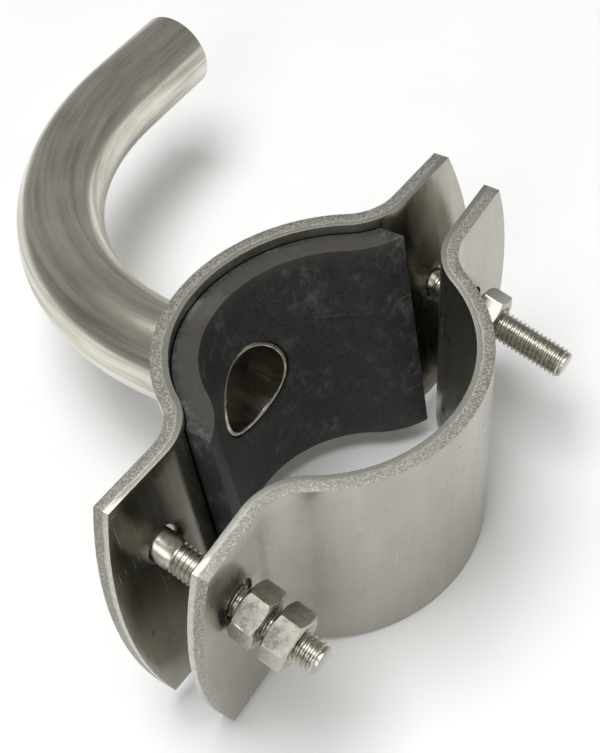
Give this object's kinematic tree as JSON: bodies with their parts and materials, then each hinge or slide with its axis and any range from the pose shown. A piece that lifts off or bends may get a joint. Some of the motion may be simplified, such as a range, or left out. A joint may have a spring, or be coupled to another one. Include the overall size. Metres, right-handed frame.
{
  "type": "hook pipe clamp",
  "caption": "Split pipe clamp with a rubber-lined saddle, bolted ears and a bent tube hook welded to its back.",
  "frame": {"origin": "on the lined half's pipe axis, halfway up its strap", "axes": "+Z along the gripped pipe, +Y from the pipe out through the welded end of the hook, +X to the right-hand ear and the way the hook bends"},
  "size_m": [0.1814, 0.194, 0.0735],
  "materials": {
    "strap_steel": "polished stainless strap with speckled sheared edges",
    "satin_steel": "satin stainless strap with fine scratches",
    "tube_steel": "polished stainless tube",
    "weld_steel": "rippled weld bead",
    "bolt_steel": "bright stainless bolt",
    "nut_steel": "bright stainless nut",
    "liner_rubber": "scuffed black moulded rubber sheet"
  },
  "bodies": {
    "rear_half": {"rear_clamp_half": "strap_steel", "rear_liner": "liner_rubber", "hook_tube": "tube_steel", "hook_weld": "weld_steel", "left_bolt": "bolt_steel", "right_bolt": "bolt_steel"},
    "front_half": {"front_clamp_half": "satin_steel"},
    "nut_on_left": {"left_nut": "nut_steel"},
    "jam_nut_on_left": {"left_jam_nut": "nut_steel"},
    "nut_on_right": {"right_nut": "nut_steel"}
  },
  "joints": [
    {"name": "clamp_slide", "type": "slide", "parent": "rear_half", "child": "front_half", "axis": [0, -0.9511, -0.309], "range_m": [0, 0.0055]},
    {"name": "left_nut_spin", "type": "hinge", "parent": "front_half", "child": "nut_on_left", "pos_m": [-0.05397, -0.01132, 0.00337], "axis": [0, -0.9511, -0.309], "range_deg": [-5, 1590]},
    {"name": "left_jam_nut_spin", "type": "hinge", "parent": "front_half", "child": "jam_nut_on_left", "pos_m": [-0.05397, -0.01902, 0.00086], "axis": [0, -0.9511, -0.309], "range_deg": [-5, 1590]},
    {"name": "right_nut_spin", "type": "hinge", "parent": "front_half", "child": "nut_on_right", "pos_m": [0.05397, -0.00201, -0.00496], "axis": [0, -0.9511, -0.309], "range_deg": [-5, 1590]}
  ],
  "couplings": [
    {"joint": "left_nut_spin", "follows": "clamp_slide", "rad_per_m": 5026.5},
    {"joint": "left_jam_nut_spin", "follows": "clamp_slide", "rad_per_m": 5026.5},
    {"joint": "right_nut_spin", "follows": "clamp_slide", "rad_per_m": 5026.5}
  ]
}
